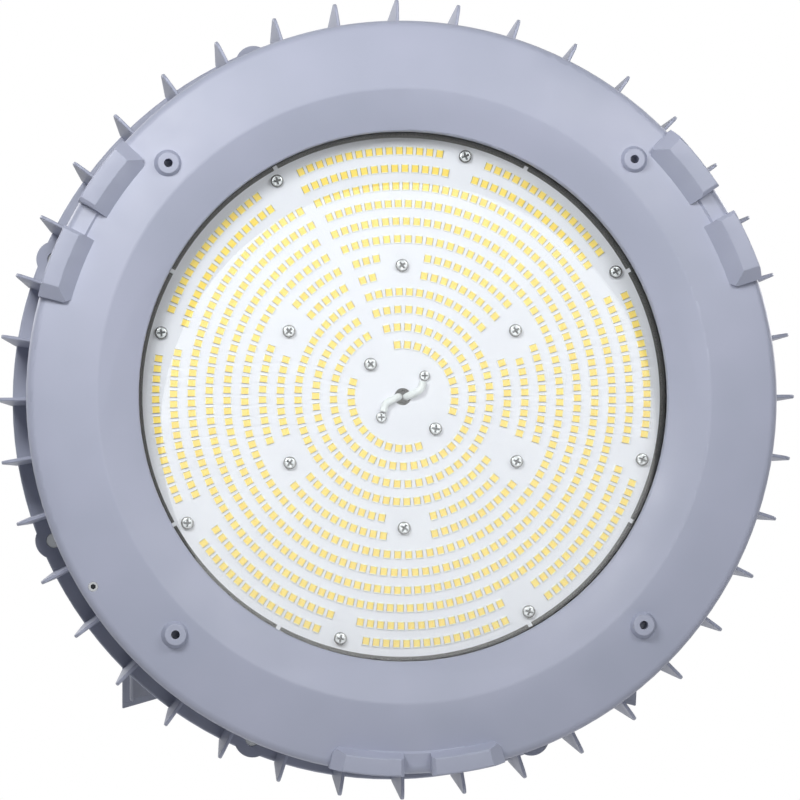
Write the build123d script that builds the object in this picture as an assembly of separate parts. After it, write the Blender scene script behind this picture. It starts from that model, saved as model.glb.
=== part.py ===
from build123d import *
from math import asin, cos, degrees, radians, sin, tan
import os

# Round explosion-proof LED light, in millimetres.
# The lamp is drawn with its axis along +Z, the light leaving towards +Z and the top towards +Y.
# export_node() then lays it over, so that the light leaves along -Y and the top points along +Z.
# The origin is the centre of the four guard bosses on the front ring, at their front faces.

# Front ring: a casting that screws onto the housing
ring_r = 148.0
ring_depth = 30.0
ring_skirt_wall = 10.2
ring_ridge_r = 120.4
ring_band_slope = 8.0
ring_funnel_slope = 22.0
ring_rim_round = 4.0
ring_ridge_round = 3.0
ring_lip_r = 104.3
ring_lip_round = 1.0
ring_lip_wall = 2.8
ring_turn = 1.0
edge_round = 0.8
cut_over = 1.0

# Guard bosses on the front ring
boss_pcd = 259.0
boss_count = 4
boss_angle = 45.0
boss_top_r = 4.1
boss_foot_r = 5.3
boss_rise = 3.0
boss_hole_r = 1.7
boss_hole_depth = 9.0
boss_round = 0.5

# Spanner lugs: three pairs of blocks on the rim, each pair over a low bridge
lug_angle = 30.7
lug_foot_radii = (135.6, 135.6, 139.4)
lug_length = 29.2
lug_pair_gap = 11.0
lug_top_r = 141.6
lug_rise = 7.4
lug_proud = 0.4
lug_root = 2.0
lug_end_slope = 5.0
lug_gap_slope = 1.4
lug_corner_length = 4.0
lug_corner_width = 4.4
lug_round = 0.8
bridge_r = 139.0
bridge_rise = 0.9

# Lock screw of the front ring
lock_screw_pcd = 285.6
lock_screw_angle = 210.5
lock_screw_r = 1.9
lock_screw_sink = 0.9
lock_screw_socket = 1.9
lock_screw_socket_depth = 2.5

# Glass, its gasket and its clamp ring
glass_r = 112.0
glass_thickness = 5.0
glass_side_gap = 0.5
gasket_thickness = 0.8
gasket_overhang = 0.5
clamp_width = 22.0
clamp_bore_r = 107.0
clamp_thickness = 2.5
clamp_screw_pcd = 242.0
clamp_screw_count = 6
clamp_screw_length = 8.0
glass_chamfer = 0.6

# Flat seal between the ring and the housing's neck
front_seal_width = 6.6
front_seal_thickness = 1.2
front_seal_inset = 0.4
thread_gap = 0.2

# LED board
board_r = 102.8
board_thickness = 1.6
board_hole_r = 3.4
board_glass_gap = 3.8
board_tab_length = 1.5
board_tab_width = 1.6
board_tab_root = 2.5
board_tab_spread = 16.2
screw_zone_turn = 0.45

# LED packages on the board
led_rows_count = 12
led_first_r = 20.6
led_row_pitch = 7.0
led_length = 3.5
led_width = 2.8
led_height = 0.7
led_row_slots = (32, 41, 50, 64, 74, 85, 92, 105, 120, 132, 140, 152)
led_row_seams = (107.6, 112.3, 115.0, 114.6, 114.1, 113.7, 115.5, 116.3, 115.4, 116.5, 117.8, 116.9)
led_outer_keepout = 10.05
led_middle_keepout = 8.75
led_inner_keepout = 9.0
led_gap_row = 3
led_gap_angles = (30.3, 334.0)
led_gap_keepout = 6.2

# Board screws
outer_screw_pcd = 197.4
outer_screw_count = 8
middle_screw_pcd = 104.0
middle_screw_count = 6
board_screw_angle = 30.0
inner_screw_pcd = 36.3
inner_screw_angle = 135.0
pan_head_r = 2.5
pan_head_height = 1.9
m3_r = 1.5
board_screw_length = 7.0
board_screw_tip_gap = 1.0
board_screw_turn = 37.0
cross_length = 1.25
cross_width = 0.32
head_round = 0.45
screw_hole_gap = 0.05
board_hole_gap = 0.15

# Terminals and leads on the board
terminal_x = 8.6
terminal_y = 8.25
terminal_head_r = 2.05
terminal_head_height = 1.4
terminal_clearance = 0.3
lead_r = 1.45
lead_pair_offset = 1.6
lead_bend_r = 3.0
lead_turn_x = 7.0
lead_turn_y = 2.6
lead_lift = 0.1
grommet_wall = 1.2
grommet_flange = 2.0
grommet_flange_height = 1.5
grommet_gap = 0.05

# Housing: finned casting
pad_r = 103.4
neck_wall = 8.0
floor_thickness = 11.4
channel_depth = 5.4
shoulder_gap = 0.3
shoulder_r = 146.5
shoulder_thickness = 5.0
drum_r = 138.0
drum_wall = 8.0
neck_edge_round = 0.6
casting_round = 1.5
floor_round = 3.0
fin_count = 40
fin_phase = 0.4
fin_tip_r = 161.0
fin_front_thickness = 1.3
fin_draft = 1.3
fin_foot = 1.6
fin_front_set_back = 1.0
fin_length = 36.0
fin_corner_round = 4.0
fin_edge_chamfer = 0.3
fin_root_depth = 1.0
flange_r = 155.0
flange_thickness = 9.0
flange_round = 1.0

# Bolt bosses of the rear flange
housing_bolt_inset = 5.5
housing_bolt_count = 8
housing_bolt_angle = 22.5
housing_boss_r = 7.5
m6_r = 3.0
m6_head_r = 5.0
m6_head_height = 6.0
m6_washer_r = 6.0
m6_washer_thickness = 1.5
m6_grip = 7.0
bolt_hole_gap = 0.3
tapped_over = 1.2
head_chamfer = 0.12
socket_width = 1.7

# Driver housing behind the rear flange
rear_flange_thickness = 7.0
cup_r = 92.0
cup_depth = 75.0
cup_draft = 1.5
cup_wall = 8.0
cup_floor = 8.0
cup_corner_round = 4.0
rib_count = 16
rib_thickness = 4.0
rib_height = 30.0
rib_foot = 12.0
rib_root = 6.0
rib_foot_height = 1.5
seal_groove_inset = 21.0
seal_section_r = 1.5
seal_squeeze = 0.05

# Terminal box on the driver housing
box_r = 54.0
box_bore_r = 42.0
box_height = 28.0
box_floor = 5.0
cover_thickness = 8.0
cover_round = 2.0
cover_seal_thickness = 1.0
cover_seal_inset = 0.5
cover_screw_pcd = 96.0
cover_screw_count = 6
m5_r = 2.5
m5_head_r = 4.25
m5_head_height = 5.0
m5_grip = 10.0

# Cable entries of the terminal box
entry_r = 8.0
entry_depth = 20.0
entry_land_r = 11.0
entry_land_reach = 3.0
gland_hex = 26.0
gland_hex_length = 8.0
gland_screw_length = 12.0
gland_bore_gap = 0.5
gland_collar_r = 11.0
gland_collar_length = 11.0
gland_seal_r = 7.4
gland_cable_r = 5.5
gland_seal_length = 9.0
gland_nut_length = 14.0
gland_nut_gap = 0.1
gland_nut_hex = 27.0
gland_nut_wall = 3.0
gland_nut_crown_r = 15.0
gland_nut_round = 4.0
plug_hex_length = 7.0
plug_screw_length = 9.0
plug_chamfer = 1.0

# Inner electrical pieces
driver_length = 120.0
driver_width = 56.0
driver_height = 36.0
driver_ear = 8.0
driver_ear_width = 52.0
driver_ear_thickness = 3.0
driver_round = 3.0
driver_screw_spacing = 40.0
driver_screw_grip = 4.5
feed_y = 36.0
feed_hole_r = 5.0
feed_flange = 1.5
feed_flange_height = 2.0
supply_lead_r = 1.1
supply_lead_pitch = 2.6
supply_bend_r = 6.0
terminal_block_length = 44.0
terminal_block_width = 20.0
terminal_block_height = 13.0
terminal_block_round = 1.0
terminal_block_ways = 3
terminal_well_r = 2.2
terminal_well_depth = 4.0
terminal_well_y = 5.0
terminal_block_y = 8.0

# Earth terminal on the rear flange
earth_inset = 13.5
earth_angle = 270.0
earth_washer_r = 7.0
earth_washer_thickness = 1.2

# U-bracket and its pivots
pivot_z = -103.0
pivot_boss_r = 14.0
pivot_boss_root = 14.0
bracket_inner = 107.0
bracket_thickness = 3.0
bracket_reach = 128.0
bracket_pivot_end_r = 18.0
bracket_half_width = 28.0
bracket_web_half_width = 15.0
bracket_web_taper = 20.0
bracket_weld_r = 2.0
bracket_corner_round = 0.6
bracket_swing = 67.5
bracket_hole_r = 6.5
bracket_slot_spacing = 90.0
bracket_slot_length = 22.0
bracket_slot_width = 9.0
m10_r = 5.0
m10_hex = 17.0
m10_head_height = 6.4
m10_grip = 16.0
m10_crown_r = 9.5
m10_crown_foot_r = 16.5
pivot_running_gap = 0.08
pivot_side_gap = 0.05
tooth_washer_thickness = 2.4
tooth_count = 12
tooth_depth = 2.0
tooth_gap = 2.2
pivot_washer_r = 11.0
pivot_washer_thickness = 2.0
spring_washer_r = 9.0
spring_washer_thickness = 2.5
spring_washer_slit = 2.0
spring_washer_lead = 20.0


# Stations along the lamp's axis, worked out from the values above
def band_z(radius):
    """Height of the ring's outer band at a radius; the guard bosses' tops lie at zero."""
    return -boss_rise - (radius - boss_pcd / 2) * tan(radians(ring_band_slope))


ridge_z = band_z(ring_ridge_r)
lip_z = ridge_z - (ring_ridge_r - ring_lip_r) * tan(radians(ring_funnel_slope))
glass_seat_z = lip_z - ring_lip_wall
glass_front_z = glass_seat_z - gasket_thickness
glass_back_z = glass_front_z - glass_thickness
skirt_r = ring_r - ring_skirt_wall
neck_r = skirt_r - thread_gap
neck_front_z = glass_back_z - front_seal_thickness
board_front_z = glass_back_z - board_glass_gap
pad_z = board_front_z - board_thickness
channel_z = pad_z - channel_depth
floor_back_z = pad_z - floor_thickness
shoulder_z = -ring_depth - shoulder_gap
fin_front_z = shoulder_z - fin_front_set_back
flange_front_z = fin_front_z - fin_length
flange_back_z = flange_front_z - flange_thickness
cup_flange_z = flange_back_z - rear_flange_thickness
cup_end_z = cup_flange_z - cup_depth
cup_floor_z = cup_end_z + cup_floor
box_end_z = cup_end_z - box_height
box_floor_z = cup_end_z - box_floor
cover_z = box_end_z - cover_seal_thickness
driver_front_z = cup_floor_z + driver_height
entry_z = (box_floor_z + box_end_z) / 2
fin_rear_r = flange_r + fin_foot / 2
housing_bolt_r = flange_r - housing_bolt_inset
seal_groove_r = flange_r - seal_groove_inset
earth_r = flange_r - earth_inset
bracket_outer = bracket_inner + bracket_thickness
pivot_boss_face = bracket_inner - pivot_side_gap - tooth_washer_thickness


def profile(points):
    """Face in the X-Z plane from (radius, height, corner rounding) points."""
    outline = FilletPolyline(
        *[(r, z) for r, z, _ in points],
        radius=[rounding for _, _, rounding in points],
        close=True,
    )
    return Plane.XZ * make_face(outline)


def turned(points, arc=360):
    """Solid of revolution about the lamp's axis."""
    return revolve(profile(points), Axis.Z, revolution_arc=arc)


def washer(outer_r, inner_r, thickness):
    """Flat ring standing on the X-Y plane."""
    disc = Cylinder(outer_r, thickness, align=(Align.CENTER, Align.CENTER, Align.MIN))
    return disc - Cylinder(inner_r, 3 * thickness)


def post(radius, bottom_z, top_z):
    """Cylinder along Z between two heights."""
    height = top_z - bottom_z
    return Pos(0, 0, bottom_z) * Cylinder(radius, height, align=(Align.CENTER, Align.CENTER, Align.MIN))


def hex_prism(across_flats, height):
    """Hexagonal prism standing on the X-Y plane."""
    return extrude(RegularPolygon(across_flats / 2, 6, major_radius=False), height)


def polar(radius, angle, z=0.0):
    """Place at a radius and an angle in degrees, turned to face outwards."""
    return Rot(0, 0, angle) * Pos(radius, 0, z)


def ring_of(count, radius, first_angle, z=0.0):
    """Evenly spaced places on a circle."""
    return [polar(radius, first_angle + 360 / count * index, z) for index in range(count)]


def tube(points, bend_r, radius):
    """Round lead along straight runs joined by arcs."""
    path = FilletPolyline(*points, radius=bend_r)
    section = Plane(origin=path @ 0, z_dir=path % 0) * Circle(radius)
    return sweep(section, path)


def solids_of(*shapes):
    """Every solid of the shapes, as one flat list."""
    return [solid for shape in shapes for solid in shape.solids()]


def outer_screw_places(z):
    return ring_of(outer_screw_count, outer_screw_pcd / 2, board_screw_angle + screw_zone_turn, z)


def middle_screw_places(z):
    return ring_of(middle_screw_count, middle_screw_pcd / 2, board_screw_angle + screw_zone_turn, z)


def inner_screw_places(z):
    return ring_of(2, inner_screw_pcd / 2, inner_screw_angle + screw_zone_turn, z)


def board_screw_places(z):
    return outer_screw_places(z) + middle_screw_places(z) + inner_screw_places(z)


def terminal_places(z):
    return [Pos(terminal_x, terminal_y, z), Pos(-terminal_x, -terminal_y, z)]


# Front ring and what it carries
def guard_boss_places(z):
    return ring_of(boss_count, boss_pcd / 2, boss_angle + ring_turn, z)


def ring_body():
    return turned([
        (ring_lip_r, lip_z, ring_lip_round),
        (ring_ridge_r, ridge_z, ring_ridge_round),
        (ring_r, band_z(ring_r), ring_rim_round),
        (ring_r, -ring_depth, edge_round),
        (skirt_r, -ring_depth, 0),
        (skirt_r, glass_back_z, 0),
        (glass_r + glass_side_gap, glass_back_z, 0),
        (glass_r + glass_side_gap, glass_seat_z, 0),
        (ring_lip_r, glass_seat_z, 0),
    ])


def guard_boss():
    """Drafted boss with its tapped hole, top face at zero."""
    foot = 2 * boss_rise
    draft = (boss_foot_r - boss_top_r) / boss_rise * foot
    body = Pos(0, 0, -foot / 2) * Cone(boss_top_r + draft, boss_top_r, foot)
    return fillet(body.edges().sort_by(Axis.Z)[-1], boss_round)


def lug_block(foot_r):
    """One lug on the X axis: inner face and far end sloped, gap end nearly upright, far foot cut off."""
    top_z = band_z(lug_top_r) + lug_rise
    outer_r = ring_r + lug_proud
    sunk_z = band_z(ring_r) - ring_rim_round - lug_root
    half_angle = degrees(lug_length / 2 / outer_r)
    section = [
        (foot_r, band_z(foot_r), 0),
        (lug_top_r, top_z, 0),
        (outer_r, top_z, 0),
        (outer_r, sunk_z, 0),
        (foot_r, sunk_z, 0),
    ]
    block = Rot(0, 0, -half_angle) * turned(section, 2 * half_angle)
    for end, slope in ((-1, lug_end_slope), (0, lug_gap_slope)):
        ends = lug_top(block).edges().filter_by(GeomType.LINE).sort_by(Axis.Y)
        block = chamfer(ends[end], slope)
    block = fillet(lug_top(block).edges(), lug_round)
    end_x = foot_r * cos(radians(half_angle)) - cut_over
    end_y = foot_r * sin(radians(half_angle)) + cut_over
    corner = make_face(Polyline(
        (end_x, end_y - lug_corner_length), (end_x + lug_corner_width, end_y), (end_x, end_y), close=True,
    ))
    return block - Pos(0, 0, sunk_z) * extrude(corner, top_z - sunk_z)


def lug_top(block):
    return block.faces().filter_by(Axis.Z).sort_by(Axis.Z)[-1]


def lug_bridge(half_angle):
    """Low strip that joins the two lugs of a pair."""
    sunk_z = band_z(ring_r) - ring_rim_round - lug_root
    section = [
        (bridge_r, band_z(bridge_r) - lug_root, 0),
        (bridge_r, band_z(bridge_r), 0),
        (bridge_r + bridge_rise, band_z(bridge_r + bridge_rise) + bridge_rise, 0),
        (ring_r, band_z(ring_r) + bridge_rise, ring_rim_round),
        (ring_r, sunk_z, 0),
    ]
    return Rot(0, 0, -half_angle) * turned(section, 2 * half_angle)


def lug_pair(foot_r):
    step = degrees((lug_length + lug_pair_gap) / 2 / ring_r)
    block = lug_block(foot_r)
    return Rot(0, 0, step) * block + Rot(0, 0, -step) * mirror(block, Plane.XZ) + lug_bridge(step)


def lock_screw_place(z):
    return polar(lock_screw_pcd / 2, lock_screw_angle + ring_turn, z)


def clamp_screw_places(z):
    return ring_of(clamp_screw_count, clamp_screw_pcd / 2, 0, z)


def front_ring():
    body = ring_body()
    body += [place * guard_boss() for place in guard_boss_places(0)]
    for pair, foot_r in enumerate(lug_foot_radii):
        body += Rot(0, 0, lug_angle + ring_turn + 360 / len(lug_foot_radii) * pair) * lug_pair(foot_r)
    hole = post(boss_hole_r, -boss_hole_depth, cut_over)
    body -= [place * hole for place in guard_boss_places(0)]
    screw_hole = post(m3_r + screw_hole_gap, 0, clamp_screw_length - clamp_thickness + cut_over)
    body -= [place * screw_hole for place in clamp_screw_places(glass_back_z)]
    body -= lock_screw_place(0) * post(lock_screw_r + screw_hole_gap, -ring_depth - cut_over, cut_over)
    return body


def ring_lock_screw():
    """Long grub screw, sunk in the ring's outer band, that presses on the housing's shoulder."""
    top_z = band_z(lock_screw_pcd / 2) - lock_screw_sink
    body = post(lock_screw_r, shoulder_z, top_z)
    socket = Pos(0, 0, top_z - lock_screw_socket_depth) * hex_prism(lock_screw_socket, ring_depth)
    return lock_screw_place(0) * (body - socket)


def lens_gasket():
    return Pos(0, 0, glass_front_z) * washer(glass_r, ring_lip_r + gasket_overhang, gasket_thickness)


def lens_glass():
    disc = post(glass_r, glass_back_z, glass_front_z)
    return chamfer(disc.edges(), glass_chamfer)


def lens_clamp_ring():
    ring = washer(clamp_bore_r + clamp_width, clamp_bore_r, clamp_thickness)
    hole = Cylinder(m3_r + board_hole_gap, 3 * clamp_thickness)
    ring -= [place * hole for place in clamp_screw_places(0)]
    return Pos(0, 0, glass_back_z - clamp_thickness) * ring


def lens_clamp_screws():
    screw = Rot(180, 0, 0) * pan_screw(m3_r, pan_head_r, pan_head_height, clamp_screw_length)
    return [place * screw for place in clamp_screw_places(glass_back_z - clamp_thickness)]


def front_seal():
    outer_r = neck_r - front_seal_inset
    return Pos(0, 0, neck_front_z) * washer(outer_r, outer_r - front_seal_width, front_seal_thickness)


# Housing
def fin_wedge(inner_r, half_front, back_z):
    """Flat-sided wedge on the X axis, drafted thicker towards the rear."""
    half_back = half_front + (fin_front_z - back_z) * tan(radians(fin_draft))
    plan = Polyline(
        (half_front, fin_front_z), (-half_front, fin_front_z), (-half_back, back_z), (half_back, back_z),
        close=True,
    )
    return Plane(origin=(inner_r, 0, 0), x_dir=(0, 1, 0), z_dir=(1, 0, 0)) * make_face(plan)


def fin():
    """Radial fin, drafted along the lamp's axis, its edge falling back to the rear flange."""
    back_z = flange_front_z - fin_root_depth
    half = fin_front_thickness / 2
    root_r = drum_r - fin_root_depth
    blade = extrude(fin_wedge(root_r, half, back_z), fin_tip_r - root_r)
    foot = extrude(fin_wedge(root_r, half + fin_foot, back_z), fin_root_depth + fin_foot)
    top = foot.faces().sort_by(Axis.X)[-1]
    long_edges = top.edges().sort_by(SortBy.LENGTH)[-2:]
    foot = chamfer(long_edges, fin_foot - fin_edge_chamfer)
    side = Plane.XZ * make_face(FilletPolyline(
        (root_r, fin_front_z), (fin_tip_r, fin_front_z), (fin_rear_r, back_z), (root_r, back_z),
        radius=[0, fin_corner_round, 0, 0], close=True,
    ))
    body = (blade & extrude(side, fin_length, both=True)) + foot
    outer_edges = [edge for edge in body.edges() if edge.center().X > fin_rear_r]
    tip = [edge for edge in outer_edges if abs(edge.center().Y) > half / 2]
    return chamfer(tip, fin_edge_chamfer)


def housing_bolt_places(z):
    return ring_of(housing_bolt_count, housing_bolt_r, housing_bolt_angle, z)


def housing_body():
    drum_bore = drum_r - drum_wall
    return turned([
        (0, pad_z, 0),
        (pad_r, pad_z, 0),
        (pad_r, channel_z, edge_round),
        (neck_r - neck_wall, channel_z, casting_round),
        (neck_r - neck_wall, neck_front_z, 0),
        (neck_r, neck_front_z, neck_edge_round),
        (neck_r, shoulder_z, 0),
        (shoulder_r, shoulder_z, edge_round),
        (shoulder_r, shoulder_z - shoulder_thickness, edge_round),
        (drum_r, shoulder_z - shoulder_thickness - casting_round, casting_round),
        (drum_r, flange_front_z, casting_round),
        (flange_r, flange_front_z, flange_round),
        (flange_r, flange_back_z, 0),
        (drum_bore, flange_back_z, 0),
        (drum_bore, floor_back_z, floor_round),
        (0, floor_back_z, 0),
    ])


def housing():
    body = housing_body()
    one_fin = fin()
    fins = [Rot(0, 0, fin_phase + 360 / fin_count * index) * one_fin for index in range(fin_count)]
    bosses = [
        place * post(housing_boss_r, flange_back_z, flange_front_z)
        for place in housing_bolt_places(0)
    ]
    body += fins + bosses
    tapped = post(m6_r + screw_hole_gap, flange_back_z - cut_over, flange_front_z + tapped_over)
    body -= [place * tapped for place in housing_bolt_places(0)]
    screw_hole = post(m3_r + screw_hole_gap, pad_z - board_screw_length, pad_z + cut_over)
    body -= [place * screw_hole for place in board_screw_places(0) + terminal_places(0)]
    body -= post(board_hole_r + grommet_wall + grommet_gap, floor_back_z - cut_over, pad_z + cut_over)
    return body - earth_place(0) * tapped


# Board and what sits on it
def board_outline():
    tab = Box(
        board_tab_root + board_tab_length, board_tab_width, board_thickness,
        align=(Align.MIN, Align.CENTER, Align.MIN),
    )
    tabs = [
        polar(board_r - board_tab_root, 45 + screw_zone_turn + 90 * quarter + side * board_tab_spread) * tab
        for quarter in range(4) for side in (-1, 1)
    ]
    disc = Cylinder(board_r, board_thickness, align=(Align.CENTER, Align.CENTER, Align.MIN))
    return disc + tabs


def led_board():
    board = Pos(0, 0, pad_z) * board_outline()
    hole = post(m3_r + board_hole_gap, pad_z - cut_over, board_front_z + cut_over)
    board -= [place * hole for place in board_screw_places(0) + terminal_places(0)]
    return board - post(board_hole_r, pad_z - cut_over, board_front_z + cut_over)


def led_gap_points():
    """Centres that the packages keep clear of, with the distance kept."""
    gap_r = led_first_r + led_gap_row * led_row_pitch
    kept = [
        (outer_screw_places(0), led_outer_keepout),
        (middle_screw_places(0), led_middle_keepout),
        (inner_screw_places(0), led_inner_keepout),
        ([polar(gap_r, angle) for angle in led_gap_angles], led_gap_keepout),
    ]
    return [(place.position, clear) for places, clear in kept for place in places]


def led_slots(row):
    """Angles of one row's packages; the slot at the seam and those near screws are left out."""
    radius = led_first_r + row * led_row_pitch
    pitch = 360 / led_row_slots[row]
    kept = []
    for slot in range(1, led_row_slots[row]):
        angle = led_row_seams[row] + slot * pitch
        spot = polar(radius, angle).position
        if all((spot - centre).length > clear for centre, clear in led_gap_points()):
            kept.append(slot)
    return radius, pitch, kept


def led_runs(row):
    """Unbroken runs of packages in one row, as (radius, first angle, swept angle)."""
    radius, pitch, slots = led_slots(row)
    half = degrees(led_width / 2 / radius)
    runs = []
    start = slots[0]
    for slot, following in zip(slots, slots[1:] + [None]):
        if following != slot + 1:
            first = led_row_seams[row] + start * pitch - half
            runs.append((radius, first, (slot - start) * pitch + 2 * half))
            start = following
    return runs


def led_rows():
    """Each run of packages is one raised arc; the separate packages are a matter of finish."""
    arcs = []
    for row in range(led_rows_count):
        for radius, first, swept in led_runs(row):
            section = [
                (radius - led_length / 2, board_front_z, 0),
                (radius + led_length / 2, board_front_z, 0),
                (radius + led_length / 2, board_front_z + led_height, 0),
                (radius - led_length / 2, board_front_z + led_height, 0),
            ]
            arcs.append(Rot(0, 0, first) * turned(section, swept))
    return arcs


def pan_screw(shank_r, head_r, head_height, length):
    """Pan-head screw with a cross recess, standing with the head's seat on the X-Y plane."""
    head = Cylinder(head_r, head_height, align=(Align.CENTER, Align.CENTER, Align.MIN))
    head = fillet(head.edges().sort_by(Axis.Z)[-1], head_round * head_height)
    slot = Box(
        cross_length * head_r, cross_width * head_r, head_height,
        align=(Align.CENTER, Align.CENTER, Align.MIN),
    )
    slot = Pos(0, 0, head_round * head_height) * slot
    return head - slot - Rot(0, 0, 90) * slot + post(shank_r, -length, 0)


def board_screw_shank():
    return board_thickness + board_screw_length - board_screw_tip_gap


def board_screws(places):
    screw = pan_screw(m3_r, pan_head_r, pan_head_height, board_screw_shank())
    turns = [Rot(0, 0, board_screw_turn * index) for index in range(len(places))]
    return [place * turn * screw for place, turn in zip(places, turns)]


def terminal_screws():
    screw = pan_screw(m3_r, terminal_head_r, terminal_head_height, board_screw_shank())
    return [place * screw for place in terminal_places(board_front_z)]


def lead(side):
    """Sleeved lead: from the driver up through the centre hole and over to a terminal."""
    over_z = board_front_z + lead_r + lead_lift
    turn = Vector(side * lead_turn_x, side * lead_turn_y, over_z)
    terminal = Vector(side * terminal_x, side * terminal_y, over_z)
    end = terminal + (turn - terminal).normalized() * (terminal_head_r + terminal_clearance)
    start_x = side * lead_pair_offset
    return tube([(start_x, 0, driver_front_z), (start_x, 0, over_z), turn, end], lead_bend_r, lead_r)


def lead_grommet():
    outer_r = board_hole_r + grommet_wall
    bottom_z = floor_back_z - grommet_flange_height
    body = post(outer_r, bottom_z, pad_z) + post(outer_r + grommet_flange, bottom_z, floor_back_z)
    return body - post(board_hole_r, bottom_z - cut_over, pad_z + cut_over)


# Driver housing, with its pivot bosses and terminal box
def driver_housing_body():
    end_r = cup_r - cup_depth * tan(radians(cup_draft))
    bore_r = end_r - cup_wall
    return turned([
        (bore_r, flange_back_z, edge_round),
        (flange_r, flange_back_z, 0),
        (flange_r, cup_flange_z, flange_round),
        (cup_r, cup_flange_z, floor_round),
        (end_r, cup_end_z, cup_corner_round),
        (box_r, cup_end_z, casting_round),
        (box_r, box_end_z, edge_round),
        (box_bore_r, box_end_z, 0),
        (box_bore_r, box_floor_z, casting_round),
        (0, box_floor_z, 0),
        (0, cup_floor_z, 0),
        (bore_r, cup_floor_z, floor_round),
    ])


def cup_rib():
    """Gusset between the driver housing's wall and its flange."""
    outline = Plane.XZ * make_face(Polyline(
        (cup_r - rib_root, cup_flange_z + cut_over), (cup_r + rib_foot, cup_flange_z + cut_over),
        (cup_r + rib_foot, cup_flange_z - rib_foot_height), (cup_r, cup_flange_z - rib_height),
        (cup_r - rib_root, cup_flange_z - rib_height), close=True,
    ))
    return extrude(outline, rib_thickness / 2, both=True)


def pivot_boss(side):
    reach = pivot_boss_face - cup_r + pivot_boss_root
    boss = Cylinder(pivot_boss_r, reach, align=(Align.CENTER, Align.CENTER, Align.MAX))
    return pivot_place(side, pivot_boss_face) * boss


def pivot_place(side, x):
    """Place on a pivot's axis, its local Z pointing away from the lamp."""
    return Pos(side * x, 0, pivot_z) * Rot(0, side * 90, 0)


def entry_place(side, reach):
    """Place on a cable entry's axis at a distance from the lamp's axis, local Z outwards."""
    return Pos(0, side * reach, entry_z) * Rot(-side * 90, 0, 0)


def entry_face():
    return box_r + entry_land_reach


def cover_screw_places(z):
    return ring_of(cover_screw_count, cover_screw_pcd / 2, 0, z)


def driver_screw_places(z):
    x = driver_length / 2 + driver_ear / 2
    y = driver_screw_spacing / 2
    return [Pos(side * x, up * y, z) for side in (-1, 1) for up in (-1, 1)]


def earth_place(z):
    return polar(earth_r, earth_angle, z)


def driver_housing():
    body = driver_housing_body()
    ears = [
        place * post(housing_boss_r, cup_flange_z, flange_back_z)
        for place in housing_bolt_places(0)
    ]
    ribs = [Rot(0, 0, 360 / rib_count * (index + 0.5)) * cup_rib() for index in range(rib_count)]
    body += ears + ribs + [pivot_boss(side) for side in (-1, 1)]
    land = Cylinder(entry_land_r, entry_land_r, align=(Align.CENTER, Align.CENTER, Align.MAX))
    body += [entry_place(side, entry_face()) * land for side in (-1, 1)]
    tapped = Cylinder(m10_r + screw_hole_gap, 2 * (m10_grip + cut_over))
    body -= [pivot_place(side, pivot_boss_face) * tapped for side in (-1, 1)]
    entry = Cylinder(entry_r + screw_hole_gap, 2 * entry_depth)
    body -= [entry_place(side, entry_face()) * entry for side in (-1, 1)]
    bolt_hole = post(m6_r + bolt_hole_gap, cup_flange_z - cut_over, flange_back_z + cut_over)
    body -= [place * bolt_hole for place in housing_bolt_places(0)] + [earth_place(0) * bolt_hole]
    tapped = post(m5_r + screw_hole_gap, box_end_z - cut_over, box_end_z + m5_grip + cut_over)
    body -= [place * tapped for place in cover_screw_places(0)]
    tapped_z = cup_floor_z - driver_screw_grip - screw_hole_gap
    tapped = post(m3_r + screw_hole_gap, tapped_z, cup_floor_z + cut_over)
    body -= [place * tapped for place in driver_screw_places(0)]
    feed_hole = post(feed_hole_r + grommet_gap, box_floor_z - cut_over, cup_floor_z + cut_over)
    body -= Pos(0, feed_y, 0) * feed_hole
    body -= seal_groove()
    return body


def seal_groove():
    half = seal_section_r + seal_squeeze
    return turned([
        (seal_groove_r - half, flange_back_z + cut_over, 0),
        (seal_groove_r + half, flange_back_z + cut_over, 0),
        (seal_groove_r + half, flange_back_z - 2 * half, 0),
        (seal_groove_r - half, flange_back_z - 2 * half, 0),
    ])


def rear_seal():
    return Pos(0, 0, flange_back_z - seal_section_r - seal_squeeze) * Torus(seal_groove_r, seal_section_r)


def socket_bolt(shank_r, head_r, head_height, length):
    """Socket-head bolt: head above the X-Y plane, shank below it."""
    head = Cylinder(head_r, head_height, align=(Align.CENTER, Align.CENTER, Align.MIN))
    head = chamfer(head.edges().sort_by(Axis.Z)[-1], head_chamfer * head_r)
    socket = Pos(0, 0, head_round * head_height) * hex_prism(socket_width * shank_r, head_height)
    return head - socket + post(shank_r, -length, 0)


def housing_bolts():
    length = m6_washer_thickness + rear_flange_thickness + m6_grip
    bolt = Rot(180, 0, 0) * socket_bolt(m6_r, m6_head_r, m6_head_height, length)
    return [place * bolt for place in housing_bolt_places(cup_flange_z - m6_washer_thickness)]


def housing_bolt_washers():
    ring = washer(m6_washer_r, m6_r + bolt_hole_gap, m6_washer_thickness)
    return [place * ring for place in housing_bolt_places(cup_flange_z - m6_washer_thickness)]


def led_driver():
    body = Box(driver_length, driver_width, driver_height, align=(Align.CENTER, Align.CENTER, Align.MIN))
    body = fillet(body.edges().filter_by(Axis.Z), driver_round)
    ears = Box(
        driver_length + 2 * driver_ear, driver_ear_width, driver_ear_thickness,
        align=(Align.CENTER, Align.CENTER, Align.MIN),
    )
    body += fillet(ears.edges().filter_by(Axis.Z), driver_round)
    hole = post(m3_r + board_hole_gap, -cut_over, driver_ear_thickness + cut_over)
    body -= [place * hole for place in driver_screw_places(0)]
    return Pos(0, 0, cup_floor_z) * body


def driver_screws():
    screw = pan_screw(m3_r, pan_head_r, pan_head_height, driver_ear_thickness + driver_screw_grip)
    return [place * screw for place in driver_screw_places(cup_floor_z + driver_ear_thickness)]


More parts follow.
